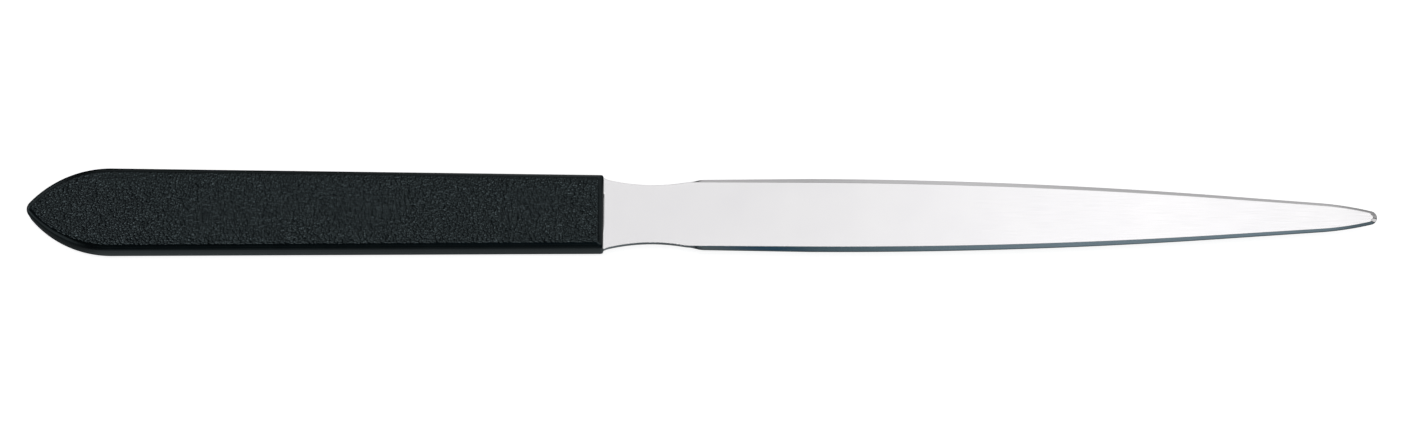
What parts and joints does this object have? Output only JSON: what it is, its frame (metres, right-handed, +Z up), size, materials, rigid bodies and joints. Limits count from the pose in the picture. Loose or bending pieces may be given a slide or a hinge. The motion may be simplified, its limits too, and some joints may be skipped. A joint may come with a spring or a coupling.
{
  "type": "letter opener",
  "caption": "Flat paper knife: a long metal blade with bevelled edges and a rounded tip, fixed by its tang in a slim grained plastic handle with a pointed round butt.",
  "frame": {"origin": "under the middle of the overall length and width, on the plane that the handle's flat underside rests on", "axes": "+X from the butt of the handle to the tip of the blade, +Y to the left seen from the butt, +Z up, out of the handle's flat top"},
  "size_m": [0.229, 0.0144, 0.006],
  "materials": {
    "blade_metal": "polished nickel plate on steel",
    "handle_plastic": "leather-grained top and underside, smooth sides"
  },
  "bodies": {
    "root": {"blade": "blade_metal", "handle": "handle_plastic"}
  },
  "joints": []
}
